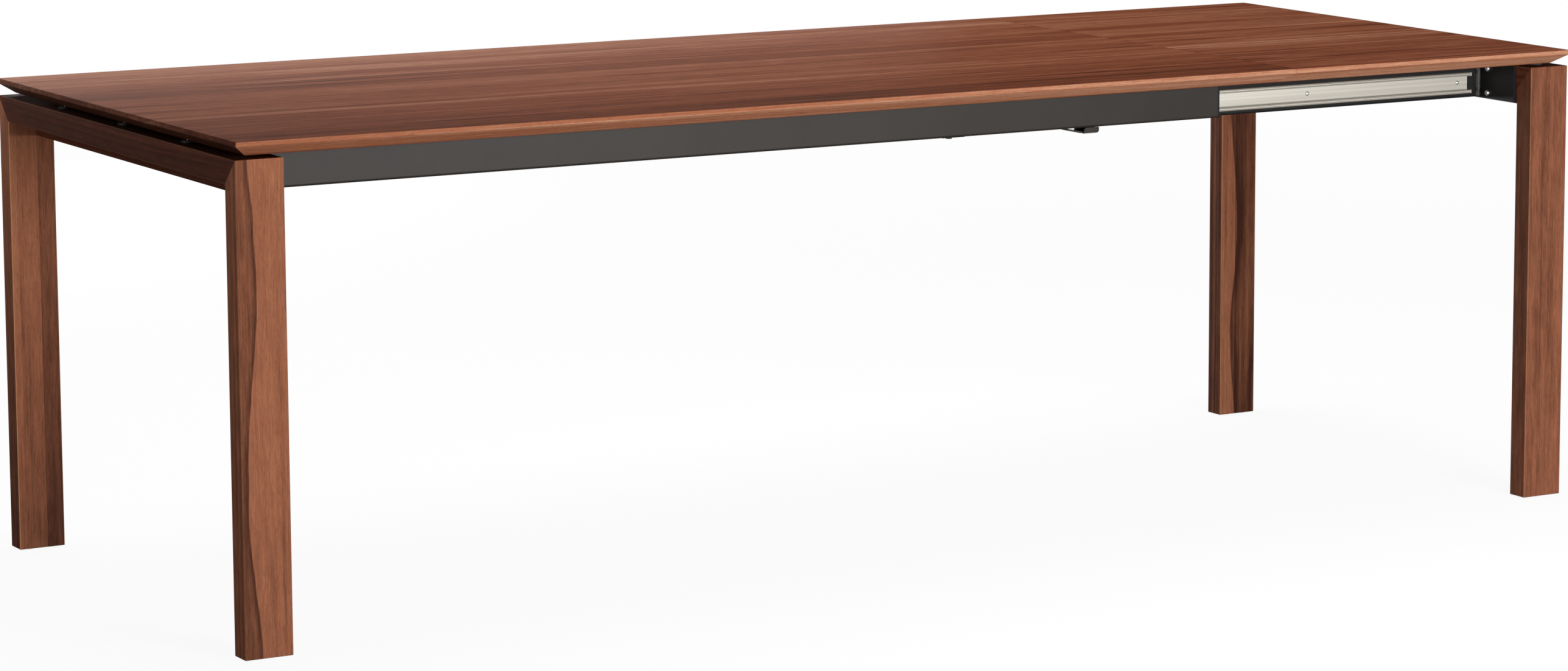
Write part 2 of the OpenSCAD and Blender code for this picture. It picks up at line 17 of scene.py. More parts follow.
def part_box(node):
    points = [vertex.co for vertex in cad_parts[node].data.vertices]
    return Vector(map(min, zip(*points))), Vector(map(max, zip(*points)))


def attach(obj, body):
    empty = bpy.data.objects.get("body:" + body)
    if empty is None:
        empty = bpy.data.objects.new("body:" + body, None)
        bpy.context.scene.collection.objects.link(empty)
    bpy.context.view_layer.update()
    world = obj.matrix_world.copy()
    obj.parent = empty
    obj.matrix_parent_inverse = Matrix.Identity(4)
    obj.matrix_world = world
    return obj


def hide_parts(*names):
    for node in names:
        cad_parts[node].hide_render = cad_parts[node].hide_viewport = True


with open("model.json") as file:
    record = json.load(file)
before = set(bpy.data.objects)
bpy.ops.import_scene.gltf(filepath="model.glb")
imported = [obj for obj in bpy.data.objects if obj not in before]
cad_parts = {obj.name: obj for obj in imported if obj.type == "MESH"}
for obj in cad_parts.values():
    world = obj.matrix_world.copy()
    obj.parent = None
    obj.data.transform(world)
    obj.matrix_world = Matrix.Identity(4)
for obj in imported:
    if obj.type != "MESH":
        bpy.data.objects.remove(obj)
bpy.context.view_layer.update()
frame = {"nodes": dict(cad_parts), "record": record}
nodes = frame["nodes"]

# %% [markdown]
# ## The camera
#
# The table is seen from its front left, from a little above the top, through a long lens. The
# legs stand almost parallel in the photograph, which only a camera with a large lens shift would
# give in full. A small shift is used here, as a compromise that keeps the other views centred. The
# bearing and tilt are angles that a maker can picture, and the lens is given in millimetres on a
# 36 mm film.

# %% Place the camera
CAMERA_PLACE = Vector((-3.832, -6.761, 1.591))
CAMERA_BEARING = math.radians(31.15)
CAMERA_TILT = math.radians(8.51)
FILM_WIDTH = 36
FOCAL_LENGTH = 112.6
LENS_SHIFT = (-0.10, -0.05)
FAR_CLIP = 60

scene = bpy.context.scene
lens = bpy.data.cameras.new("photo_camera")
lens.sensor_width = FILM_WIDTH
lens.lens = FOCAL_LENGTH
lens.shift_x, lens.shift_y = LENS_SHIFT
lens.clip_end = FAR_CLIP
camera = bpy.data.objects.new("photo_camera", lens)
camera.location = CAMERA_PLACE
camera.rotation_euler = (math.pi / 2 - CAMERA_TILT, 0, -CAMERA_BEARING)
scene.collection.objects.link(camera)
scene.camera = camera
print("camera", round(CAMERA_PLACE.length, 2), "m from the middle of the floor")

# %% [markdown]
# ## The light
#
# The edges that face us are the brightest wood, the left faces are half as bright, and the steel
# beam shows a broad soft highlight left of its middle. One wide softbox in front, low and a little
# to the right, gives the first and the last of these. A far one on the left hangs lower than the
# top, so it lights the left faces and leaves the gap between top and crossbar black.
#
# A large one overhead lights the top. One behind and one on the right keep the far sides from
# going black. A long narrow strip just behind the back edge, and barely above it, makes the top
# paler towards the back, as it is in the photograph. A dim grey world fills the rest. The camera
# doesn't see the lamps themselves.

# %% Hang the softboxes
def softbox(name, place, target, width, height, watts):
    lamp = bpy.data.lights.new(name, "AREA")
    lamp.shape = "RECTANGLE"
    lamp.size = width
    lamp.size_y = height
    lamp.energy = watts
    aim = Vector(target) - Vector(place)
    box = bpy.data.objects.new(name, lamp)
    box.location = place
    box.rotation_euler = aim.to_track_quat("-Z", "Y").to_euler()
    box.visible_camera = False
    scene.collection.objects.link(box)
    print(name, watts, "W,", round(aim.length, 2), "m away")


softbox("front_softbox", (0.8, -5.0, 0.95), (0.1, -0.4, 0.5), 2.0, 1.2, 320)
softbox("overhead_softbox", (0.3, 0.4, 3.3), (0.0, 0.0, 0.7), 3.0, 1.8, 70)
softbox("left_softbox", (-10.0, -2.2, 0.38), (-0.5, 0.0, 0.38), 3.0, 0.6, 420)
softbox("back_softbox", (-0.4, 4.8, 0.50), (0.0, 0.0, 0.45), 2.4, 0.8, 90)
softbox("right_softbox", (9.0, 2.0, 0.38), (0.5, 0.0, 0.38), 3.0, 0.6, 150)
softbox("low_strip", (-0.3, 0.85, 0.85), (-0.1, -0.3, 0.70), 2.4, 0.12, 4.3)

# %% [markdown]
# ## One helper for nodes, one for colours
#
# Every material below is a small tree of nodes. `add` puts one node in a tree: its settings are
# keyword arguments, and its inputs are given by socket name or number, each as a value or as
# another node's output. Colours are written as a designer writes them, in sRGB hex, and `linear`
# turns them into the linear numbers that the shaders need. `colours` gives a ramp its stops.

# %% Helpers for materials
MM = 0.001


def linear(code):
    parts = [int(code[i:i + 2], 16) / 255 for i in (1, 3, 5)]
    parts = [c / 12.92 if c <= 0.04045 else ((c + 0.055) / 1.055) ** 2.4 for c in parts]
    return (*parts, 1.0)


def add(tree, kind, inputs, out=0, **settings):
    made = tree.nodes.new("ShaderNode" + kind)
    for name, value in settings.items():
        setattr(made, name, value)
    for socket, source in inputs.items():
        if isinstance(source, bpy.types.NodeSocket):
            tree.links.new(source, made.inputs[socket])
        else:
            made.inputs[socket].default_value = source
    return made.outputs[out] if made.outputs else made


def new_material(name):
    material = bpy.data.materials.new(name)
    material.use_nodes = True
    material.node_tree.nodes.clear()
    return material, material.node_tree


def colours(ramp_output, stops):
    ramp = ramp_output.node.color_ramp
    while len(ramp.elements) < len(stops):
        ramp.elements.new(0.5)
    for element, (place, code) in zip(ramp.elements, stops):
        element.position = place
        element.color = linear(code)
    return ramp_output


print("helpers ready; white is", [round(c, 3) for c in linear("#ffffff")])

# %% [markdown]
# ## World and floor
#
# The backdrop of the photograph is plain white paper. The world is white only for the camera, and
# a dim grey for everything else, so the white adds no light to the table.

# %% Make the world
WHITE = linear("#ffffff")
WORLD_GREY = 0.18

world = bpy.data.worlds.new("paper_backdrop")
world.use_nodes = True
scene.world = world
sky = world.node_tree
sky.nodes.clear()
path = add(sky, "LightPath", {}).node
level = add(sky, "MapRange", {0: path.outputs["Is Camera Ray"], 3: WORLD_GREY, 4: 1.0})
shade = add(sky, "Background", {"Color": WHITE, "Strength": level})
add(sky, "OutputWorld", {"Surface": shade})
scene.view_settings.view_transform = "Standard"
print("world grey", WORLD_GREY)

# %% [markdown]
# The floor does the same by hand: the camera sees it glow almost white, and a diffuse part keeps
# the soft shadow at the feet. That part fades out between 1.5 and 7 m from the middle of the
# table, so there is no horizon.

# %% Make the floor
FLOOR_SIDE = 40
FADE_FROM, FADE_TO = 1.5, 7.0
GLOW_NEAR, GLOW_FAR = 0.92, 1.0

bpy.ops.object.select_all(action="DESELECT")
bpy.ops.mesh.primitive_plane_add(size=FLOOR_SIDE, location=(0, 0, 0))
floor = bpy.context.object
floor.name = "paper_floor"
paper, tree = new_material("matte_white_paper")
path = add(tree, "LightPath", {}).node
matte = add(tree, "BsdfDiffuse", {"Color": linear("#8c8c8c")})
bright = add(tree, "BsdfDiffuse", {"Color": WHITE})
glow = add(tree, "Emission", {"Color": WHITE, "Strength": 1.0})
spot = add(tree, "TexCoord", {}, out="Object")
reach = add(tree, "VectorMath", {0: spot}, out="Value", operation="LENGTH")
share = add(tree, "MapRange", {0: reach, 1: FADE_FROM, 2: FADE_TO, 3: GLOW_NEAR, 4: GLOW_FAR},
            interpolation_type="SMOOTHSTEP")
seen = add(tree, "MixShader", {0: share, 1: bright, 2: glow})
mixed = add(tree, "MixShader", {0: path.outputs["Is Camera Ray"], 1: matte, 2: seen})
add(tree, "OutputMaterial", {"Surface": mixed})
floor.data.materials.append(paper)
print("floor", FLOOR_SIDE, "m, fading to white at", FADE_TO, "m")

# %% [markdown]
# ## Oiled walnut
#
# Walnut is a brown wood with darker streaks of heartwood, fine pores that show as short dark
# dashes, and paler sapwood at some board edges. Oil leaves it satin: it fills no pores and builds
# no film. The top is glued up from full-length boards of 75 to 120 mm, each from another place in
# the log, so the first helper numbers the boards and says how far a point lies across its board.
#
# A slow wave makes some boards wider than others. `ticket` is the board's number plus a seed, and
# `lucks` are three random numbers that all the wood of one board shares.

# %% Number the boards of a panel
WAVE_PER_BOARD = 2.3
WAVE_SIZE = 0.10


def boards(tree, side, width, start, seed):
    steps = add(tree, "Math", {0: side, 1: 1 / width, 2: -start / width}, operation="MULTIPLY_ADD")
    wave = add(tree, "Math", {0: steps, 1: WAVE_PER_BOARD}, operation="MULTIPLY")
    wave = add(tree, "Math", {0: wave}, operation="SINE")
    steps = add(tree, "Math", {0: wave, 1: WAVE_SIZE, 2: steps}, operation="MULTIPLY_ADD")
    index = add(tree, "Math", {0: steps}, operation="FLOOR")
    within = add(tree, "Math", {0: steps}, operation="FRACT")
    ticket = add(tree, "Math", {0: index, 1: seed}, operation="ADD")
    luck = add(tree, "TexWhiteNoise", {"W": ticket}, out="Color", noise_dimensions="1D")
    lucks = add(tree, "SeparateColor", {0: luck}).node.outputs
    return ticket, within, lucks


steepest = WAVE_PER_BOARD * WAVE_SIZE
print("a board is", round(1 / (1 + steepest), 2), "to", round(1 / (1 - steepest), 2),
      "times its plain width")

# %% [markdown]
# The figure is solid, as in real wood. Each board has its own pith, a line near the grain's
# direction, and the growth rings are shells around that line. A face cut along the shells shows
# long streaks and cathedrals, and a face cut across them shows arcs, so the ends of the boards
# come out right with no further work. The rings of walnut are 3 to 5 mm wide. Here they are drawn
# 9 mm wide, with finer ones inside, because narrow ones would blur to one tone at this distance.
#
# The pith lies 35 to 110 mm behind the frame's zero plane, which for the top is the floor, and
# drifts by some 30 mm along the board. All boards are thus sawn far from their pith, and their
# rings are wide arcs. `place` holds a point's coordinates along the grain, across the board's
# width and through its thickness. The noise of the rings stays near its middle, so it is
# stretched to fill 0 to 1.

# %% Growth rings
RING = 9 * MM
PITH_NEAR, PITH_FAR = 35 * MM, 110 * MM
PITH_ASIDE = 1.5
DRIFT_ASIDE, DRIFT_DEEP = 30 * MM, 36 * MM
DRIFT_STEPS = (0.8, 7.7, 0.0)


def growth_rings(tree, place, within, width, ticket, lucks):
    along, _, deep = place
    way = add(tree, "CombineXYZ", {0: along, 1: ticket})
    way = add(tree, "VectorMath", {0: way, 1: DRIFT_STEPS}, operation="MULTIPLY")
    drift = add(tree, "TexNoise", {"Vector": way, "Scale": 1.0, "Detail": 1.0}, out="Color")
    drifts = add(tree, "SeparateColor", {0: drift}).node.outputs
    side = add(tree, "Math", {0: within, 1: lucks[0]}, operation="SUBTRACT")
    side = add(tree, "Math", {0: side, 1: PITH_ASIDE * width}, operation="MULTIPLY")
    side = add(tree, "Math", {0: drifts[0], 1: DRIFT_ASIDE, 2: side}, operation="MULTIPLY_ADD")
    depth = add(tree, "MapRange", {0: lucks[1], 3: PITH_NEAR, 4: PITH_FAR})
    depth = add(tree, "Math", {0: depth, 1: deep}, operation="ADD")
    depth = add(tree, "Math", {0: drifts[1], 1: DRIFT_DEEP, 2: depth}, operation="MULTIPLY_ADD")
    reach = add(tree, "CombineXYZ", {0: 0.0, 1: side, 2: depth})
    reach = add(tree, "VectorMath", {0: reach}, out="Value", operation="LENGTH")
    ring = add(tree, "Math", {0: reach, 1: 1 / RING, 2: ticket}, operation="MULTIPLY_ADD")
    ring = add(tree, "TexNoise", {"W": ring, "Scale": 1.0, "Detail": 3.0, "Roughness": 0.6},
               noise_dimensions="1D")
    return add(tree, "MapRange", {0: ring, 1: 0.28, 2: 0.72})


print("rings", round(RING / MM, 1), "mm wide")

# %% [markdown]
# Everything that is drawn out along the grain is one noise, stretched: long streaks of colour,
# darker bands of heartwood, short fibres and a soft mottle. Only length, width and detail differ.
#
# Walnut is ring porous only in part: its pores are everywhere, 10 mm long dashes on a face along
# the grain and dots at its ends. They are a tenth of a millimetre wide, drawn here as 0.7 mm so
# that they show.

# %% Streaks and pores
STREAK_LONG, STREAK_WIDE = 900 * MM, 8 * MM
BAND_LONG, BAND_WIDE = 500 * MM, 16 * MM
FIBRE_LONG, FIBRE_WIDE = 40 * MM, 1.2 * MM
MOTTLE_LONG, MOTTLE_WIDE = 45 * MM, 14 * MM
PORE_LONG, PORE_WIDE = 9 * MM, 0.7 * MM


def grain_streaks(tree, place, ticket, long, wide, detail=5.0):
    along, side, deep = place
    stretch = (1 / long, 1 / wide, 1 / wide)
    spot = add(tree, "CombineXYZ", {0: along, 1: side, 2: deep})
    spot = add(tree, "VectorMath", {0: spot, 1: stretch}, operation="MULTIPLY")
    shift = add(tree, "CombineXYZ", {0: ticket, 1: 0.0, 2: ticket})
    spot = add(tree, "VectorMath", {0: spot, 1: shift}, operation="ADD")
    streak = add(tree, "TexNoise", {"Vector": spot, "Scale": 1.0, "Detail": detail,
                                    "Roughness": 0.58})
    return add(tree, "MapRange", {0: streak, 1: 0.30, 2: 0.70})


def open_pores(tree, place):
    pore = grain_streaks(tree, place, 0.0, PORE_LONG, PORE_WIDE, detail=1.0)
    return add(tree, "MapRange", {0: pore, 1: 0.56, 2: 0.90}, interpolation_type="SMOOTHSTEP")


print("pores", round(PORE_LONG / MM, 1), "by", round(PORE_WIDE / MM, 1), "mm")

# %% [markdown]
# A leg may also have a streak of dark heartwood that wanders down the blank, with browner wood on
# one side of it. It swings about its middle line once in each period along the grain, and ragged
# noise keeps the swing from being even. `dark_side` is 1 or -1 for the side that is browner, and
# the streak fades out over `wide`.

# %% The wandering heart streak
BROWNER = 0.35
STREAK_CORE = 0.40
CRISP = 1 * MM


def heart_streak(tree, along, side, middle, swing, period, phase, dark_side, wide):
    turn = add(tree, "Math", {0: along, 1: 2 * math.pi / period, 2: phase},
               operation="MULTIPLY_ADD")
    turn = add(tree, "Math", {0: turn}, operation="COSINE")
    line = add(tree, "Math", {0: turn, 1: swing, 2: middle}, operation="MULTIPLY_ADD")
    ragged = add(tree, "TexNoise", {"W": along, "Scale": 6.0, "Detail": 2.0},
                 noise_dimensions="1D")
    line = add(tree, "Math", {0: ragged, 1: swing, 2: line}, operation="MULTIPLY_ADD")
    gap = add(tree, "Math", {0: side, 1: line}, operation="SUBTRACT")
    gap = add(tree, "Math", {0: gap, 1: dark_side}, operation="MULTIPLY")
    browner = add(tree, "MapRange", {0: gap, 1: -CRISP, 2: CRISP, 3: 0.0, 4: BROWNER},
                  interpolation_type="SMOOTHSTEP")
    far = add(tree, "MapRange", {0: gap, 1: 0.0, 2: wide, 3: 1.0, 4: 0.0},
              interpolation_type="SMOOTHSTEP")
    near = add(tree, "MapRange", {0: gap, 1: -CRISP, 2: CRISP}, interpolation_type="SMOOTHSTEP")
    core = add(tree, "Math", {0: far, 1: near}, operation="MULTIPLY")
    return add(tree, "Math", {0: core, 1: STREAK_CORE, 2: browner}, operation="MULTIPLY_ADD")


print("a heart streak is crisp to", round(CRISP / MM, 1), "mm")

# %% [markdown]
# The tone of a point is one number. The ring, the streaks, the heartwood bands and the board's own
# luck pull it the more, the livelier the board, and the short fibres and the mottle pull it by the
# same amount everywhere. A ramp turns the tone to colour later.

# %% Figure and tone
MIDDLE_TONE = 0.42
LIVELY_DROP = 0.51
LIVELY_PULLS = {"ring": 0.34, "streak": 0.30, "luck": 0.40, "band": -0.28}
STEADY_PULLS = {"fibre": 0.16, "mottle": 0.08}


def figure(tree, place, ticket, lucks, ring):
    band = grain_streaks(tree, place, ticket, BAND_LONG, BAND_WIDE, detail=3.0)
    band = add(tree, "MapRange", {0: band, 1: 0.62, 2: 0.95}, interpolation_type="SMOOTHSTEP")
    return {"ring": ring, "luck": lucks[2], "band": band,
            "streak": grain_streaks(tree, place, ticket, STREAK_LONG, STREAK_WIDE),
            "fibre": grain_streaks(tree, place, ticket, FIBRE_LONG, FIBRE_WIDE, detail=2.0),
            "mottle": grain_streaks(tree, place, ticket, MOTTLE_LONG, MOTTLE_WIDE, detail=2.0)}


def pull_tone(tree, tone, parts, pulls, share=1.0):
    for part, pull in pulls.items():
        tone = add(tree, "Math", {0: parts[part], 1: pull * share, 2: tone},
                   operation="MULTIPLY_ADD")
    return tone


print("the figure pulls the tone by", LIVELY_PULLS, STEADY_PULLS)

# %% [markdown]
# Two things change the tone in one place only. Some boards have a rim of pale sapwood, and the
# top's worked edge is lighter, because the plane cut down into fresh wood there. That edge slants,
# so it is found by how far out and how low a point lies. Its tone also grows paler towards +X,
# which is painted light, because the edge is lit more towards the right.

# %% Sapwood and the worked edge
RIM_FROM, RIM_TO = 0.90, 0.93
RIM_LUCK = 0.62
EDGE_PULLS = {"ring": 0.14, "streak": 0.16, "fibre": 0.14}


def sapwood_rim(tree, within, luck, streak):
    rim = add(tree, "MapRange", {0: within, 1: RIM_FROM, 2: RIM_TO},
              interpolation_type="SMOOTHSTEP")
    chosen = add(tree, "Math", {0: luck, 1: RIM_LUCK}, operation="GREATER_THAN")
    rim = add(tree, "Math", {0: rim, 1: chosen}, operation="MULTIPLY")
    return add(tree, "Math", {0: rim, 1: streak}, operation="MULTIPLY")


def worked_edge(tree, tone, place, parts, where, level, painted_light_slope):
    along, side, deep = place
    outer = add(tree, "Math", {0: side}, operation="ABSOLUTE")
    outer = add(tree, "Math", {0: outer, 1: deep}, operation="SUBTRACT")
    outer = add(tree, "MapRange", {0: outer, 1: where - 1 * MM, 2: where + 1 * MM},
                interpolation_type="SMOOTHSTEP")
    # Painted light: the edge's tone rises along X, so the edge is paler towards the right.
    fresh_wood_and_painted_light = add(tree, "Math", {0: along, 1: painted_light_slope, 2: level}, operation="MULTIPLY_ADD")
    fresh_wood_and_painted_light = pull_tone(tree, fresh_wood_and_painted_light, parts, EDGE_PULLS)
    return add(tree, "Mix", {0: outer, 2: tone, 3: fresh_wood_and_painted_light})


print("about", round(100 * (1 - RIM_LUCK)), "% of the boards have a pale rim")

# %% [markdown]
# The surface comes last. Wood cut across the grain drinks more oil, so the ends of the boards are
# darker. A slanting cut is darkened the most, which is painted shade, because the bevels under the
# top's ends lie in shade. The rounded corners of the legs and bars are lightened, more on some
# than
# on others: partly the oil rubbed off by hands and cloths, partly a painted highlight. These are
# found by their normals: on a rounding, no axis has all of the normal. The pores are darker and
# dent the surface a little.

# %% Oiled surface
# The pale tan of rounded corners: partly wear, partly a painted highlight.
RUBBED_AND_HIGHLIGHT = linear("#dca377")
# The soaked tone darkens pores and end grain, and paints the shade on slanting end cuts.
SOAKED_AND_SHADE = linear("#24110b")
PORE_SHADE = 0.24
PORE_DEPTH = 0.08 * MM


def oiled_surface(tree, colour, facing, grain, pore, streak, worn):
    facing = add(tree, "VectorMath", {0: facing}, operation="ABSOLUTE")
    facings = add(tree, "SeparateXYZ", {0: facing}).node.outputs
    # Painted highlight and wear: rounded corners are lightened towards the pale tan.
    if worn:
        flat = add(tree, "Math", {0: facings[0], 1: facings[1]}, operation="MAXIMUM")
        flat = add(tree, "Math", {0: flat, 1: facings[2]}, operation="MAXIMUM")
        highlight_and_rubbed = add(tree, "MapRange", {0: flat, 1: 0.99, 2: 0.80, 3: 0.0, 4: worn})
        colour = add(tree, "Mix", {0: highlight_and_rubbed, 6: colour, 7: RUBBED_AND_HIGHLIGHT}, out=2, data_type="RGBA")
    # Painted shade on slanting end cuts: they take the most of the soaked tone. Square end grain
    # is darker from the oil.
    across_it = add(tree, "MapRange", {0: facings[grain], 1: 0.30, 2: 0.50})
    soak_and_slant_shade = add(tree, "MapRange", {0: facings[grain], 1: 0.60, 2: 0.95, 3: 0.88, 4: 0.62})
    end_soak_and_shade = add(tree, "Math", {0: across_it, 1: soak_and_slant_shade}, operation="MULTIPLY")
    shade = add(tree, "Math", {0: pore, 1: PORE_SHADE}, operation="MULTIPLY")
    shade = add(tree, "Math", {0: shade, 1: end_soak_and_shade}, operation="MAXIMUM")
    colour = add(tree, "Mix", {0: shade, 6: colour, 7: SOAKED_AND_SHADE}, out=2, data_type="RGBA")
    rough = add(tree, "MapRange", {0: streak, 3: 0.60, 4: 0.72})
    dent = add(tree, "Math", {0: pore, 1: -1.0}, operation="MULTIPLY")
    bump = add(tree, "Bump", {"Height": dent, "Distance": PORE_DEPTH, "Strength": 0.4})
    shader = add(tree, "BsdfPrincipled", {"Base Color": colour, "Roughness": rough, "Normal": bump,
                                          "Specular IOR Level": 0.02})
    add(tree, "OutputMaterial", {"Surface": shader})


print("pores", round(PORE_DEPTH / MM, 2), "mm deep")

# %% [markdown]
# One function puts these together. Six things are asked for only where they are seen:
#
# - `pale` is a rim of sapwood on some boards, and `heart` is the dark streak in a leg.
# - `edge` is the top's worked edge: where it begins, its tone, and the slope of that tone along X,
#   which is painted light.
# - `worn` lightens rounded corners, partly as wear and partly as a painted highlight.
# - `fade` changes a leg's tone in step with its height.
# - `flank` darkens the left face of a leg, as painted shade.

# %% Oiled walnut
HEART_PULL = -0.52


def walnut(name, grain, across, width, start, tones, seed, lively=1.0, shift=0.0, pale=0.0,
           heart=None, edge=None, worn=0.0, fade=0.0, flank=0.0):
    """Oiled walnut; grain and across are 0, 1 or 2 for X, Y or Z, and width is one board's."""
    material, tree = new_material(name)
    point = add(tree, "TexCoord", {}, out="Object")
    axes = add(tree, "SeparateXYZ", {0: point}).node.outputs
    along, side, deep = axes[grain], axes[across], axes[3 - grain - across]
    place = (along, side, deep)
    ticket, within, lucks = boards(tree, side, width, start, seed)
    ring = growth_rings(tree, place, within, width, ticket, lucks)
    parts = figure(tree, place, ticket, lucks, ring)

    tone = MIDDLE_TONE - LIVELY_DROP * lively + shift
    tone = pull_tone(tree, tone, parts, LIVELY_PULLS, lively)
    tone = pull_tone(tree, tone, parts, STEADY_PULLS)
    if pale:
        rim = sapwood_rim(tree, within, lucks[0], parts["streak"])
        tone = add(tree, "Math", {0: rim, 1: pale, 2: tone}, operation="MULTIPLY_ADD")
    if edge:
        tone = worked_edge(tree, tone, place, parts, *edge)
    if fade:
        tone = add(tree, "Math", {0: along, 1: fade, 2: tone}, operation="MULTIPLY_ADD")
    if heart:
        core = heart_streak(tree, along, side, **heart)
        tone = add(tree, "Math", {0: core, 1: HEART_PULL, 2: tone}, operation="MULTIPLY_ADD")
    facing = add(tree, "TexCoord", {}, out="Normal")
    # Painted shade: the left face of the leg is darkened by the amount given for it.
    if flank:
        painted_shade_face = add(tree, "SeparateXYZ", {0: facing}).node.outputs[0]
        painted_shade_face = add(tree, "MapRange", {0: painted_shade_face, 1: -0.5, 2: -0.9})
        tone = add(tree, "Math", {0: painted_shade_face, 1: flank, 2: tone}, operation="MULTIPLY_ADD")
    colour = colours(add(tree, "ValToRGB", {0: tone}), tones)
    oiled_surface(tree, colour, facing, grain, open_pores(tree, place), parts["streak"], worn)
    print(name, len(tree.nodes), "nodes")
    return material


print("a heart streak pulls the tone by", HEART_PULL)

# %% [markdown]
# The leaf was cut from another panel than the main top, so its boards have other luck. Both have
# their grain along X, and a worked edge that begins at a slanting line through the arris. The
# crossbars and the inner rails come from darker and quieter boards, with their grain along Y, and
# their tones are darker still as painted shade, the shade under the top.

# %% The walnut of the top, the leaf and the bars
# The palest tone is greyed, a painted sheen for the back of the top.
TOP_TONES_WITH_SHEEN = [(0.08, "#40200f"), (0.30, "#5e301d"), (0.50, "#78412a"), (0.70, "#8e5940"),
             (0.95, "#b1866c")]
# Painted shade: the bars' tones are darker than their wood, for the shade under the top.
BAR_TONES_WITH_SHADE = [(0.10, "#2f170f"), (0.35, "#452418"), (0.55, "#5c3424"), (0.75, "#6e4330"),
             (0.95, "#8c5c44")]
TOP_BOARD = 94 * MM
BAR_BOARD = 90 * MM

top_lo, top_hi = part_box("main_top")
arris = top_hi.y - top_hi.z
# The seeds are picked so that the front boards come out dark and the back ones pale: painted light
# and sheen towards the back.
walnut_top = walnut("walnut_top_boards", 0, 1, TOP_BOARD, top_lo.y, TOP_TONES_WITH_SHEEN, 3377.0,
                    lively=0.9, shift=-0.03, pale=0.15, edge=(arris, 0.52, 0.06))
walnut_leaf = walnut("walnut_leaf_boards", 0, 1, TOP_BOARD, top_lo.y, TOP_TONES_WITH_SHEEN, 550.0,
                     lively=0.9, shift=-0.05, pale=0.08, edge=(arris, 0.52, 0.06))
walnut_bar_with_shade = walnut("walnut_crossbars_with_shade", 1, 0, BAR_BOARD, top_lo.x - 5 * MM, BAR_TONES_WITH_SHADE, 12.0,
                    lively=0.6, shift=-0.19, worn=0.1)

# %% [markdown]
# Each leg is its own blank, glued from two or three pieces of up to 60 mm. One glue line, `seam`,
# and the middle of a heart streak are measured from the leg's left edge. The near left leg is the
# palest and shows its streak plainly. The two back legs carry much painted shade on their left
# faces.

# %% The walnut of the legs
LEG_TONES = [(0.05, "#3a2119"), (0.28, "#5e3929"), (0.50, "#81503a"), (0.70, "#956247"),
             (0.95, "#b78762")]
LEG_BOARD = 60 * MM
HEARTS = {
    "left_leg_front": dict(middle=14 * MM, swing=10 * MM, period=600 * MM, phase=-5.65,
                           dark_side=-1, wide=9 * MM),
    "left_leg_back": dict(middle=46 * MM, swing=0.0, period=900 * MM, phase=0.0,
                          dark_side=1, wide=1 * MM),
    "right_leg_back": dict(middle=24 * MM, swing=7 * MM, period=420 * MM, phase=1.0,
                           dark_side=1, wide=14 * MM),
}


def leg_blank(leg, seed, seam, **looks):
    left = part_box(leg)[0].x
    heart = HEARTS.get(leg)
    if heart:
        heart = dict(heart, middle=left + heart["middle"])
    return walnut("walnut_" + leg, 2, 0, LEG_BOARD, left + seam, LEG_TONES, seed, heart=heart,
                  **looks)


walnut_legs = {
    "left_leg_front": leg_blank("left_leg_front", 5.0, 14 * MM, shift=-0.07, lively=0.35,
                                fade=0.12, worn=0.06),
    "left_leg_back": leg_blank("left_leg_back", 12.0, 66 * MM, shift=-0.19, lively=0.30,
                               fade=0.45, flank=-0.25, worn=0.5),
    "right_leg_front": leg_blank("right_leg_front", 19.0, 40 * MM, shift=-0.17, lively=0.30,
                                 fade=-0.08, flank=-0.06, worn=0.2),
    "right_leg_back": leg_blank("right_leg_back", 26.0, 30 * MM, shift=-0.14, lively=0.80,
                                flank=-0.34, worn=0.3),
}

# %% [markdown]
# ## Powder-coated steel
#
# The beams are square-cut steel tubes with a satin black powder coat. Powder melts to a skin with
# a fine ripple, like the peel of an orange, with bumps about 1 mm apart. The skin is a dark warm
# grey plastic, not bare metal, so its metallic value is zero. A faint cloudiness, some 100 mm
# across, keeps the long beams from looking like one flat tone.

# %% Powder coat
RIPPLE = 1.6 * MM
CLOUDS_PER_METRE = 9.0


def powder_coat(name, code, rough):
    material, tree = new_material(name)
    place = add(tree, "TexCoord", {}, out="Object")
    ripple = add(tree, "TexNoise", {"Vector": place, "Scale": 1 / RIPPLE, "Detail": 2.0})
    cloud = add(tree, "TexNoise", {"Vector": place, "Scale": CLOUDS_PER_METRE, "Detail": 3.0})
    cloud = add(tree, "MapRange", {0: cloud, 1: 0.3, 2: 0.7, 3: 0.88, 4: 1.12})
    base = add(tree, "Mix", {0: 1.0, 6: linear(code), 7: cloud}, out=2, data_type="RGBA",
               blend_type="MULTIPLY")
    gloss = add(tree, "MapRange", {0: ripple, 3: rough - 0.05, 4: rough + 0.05})
    bump = add(tree, "Bump", {"Height": ripple, "Distance": 0.05 * MM, "Strength": 0.35})
    shader = add(tree, "BsdfPrincipled", {"Base Color": base, "Roughness": gloss, "Normal": bump,
                                          "Specular IOR Level": 0.20})
    add(tree, "OutputMaterial", {"Surface": shader})
    print(name, code, "roughness", rough)
    return material


coat_grey = powder_coat("powder_coat_dark_grey", "#221d19", 0.52)
coat_black = powder_coat("powder_coat_black", "#0f0e0e", 0.46)

# %% [markdown]
# ## Anodised aluminium
#
# The C rails are extruded aluminium with a natural matt anodised skin. The die leaves fine lines
# along the rail, a fraction of a millimetre apart. They are drawn 0.8 mm wide so that they show,
# and they stretch the highlight across the rail. Broader bands, 6 mm apart, vary its grey.

# %% Aluminium
DIE_LINE = 0.8 * MM
LINES_PER_METRE = (2.0, 1 / DIE_LINE, 1 / DIE_LINE)
BANDS_PER_METRE = (0.8, 160.0, 160.0)

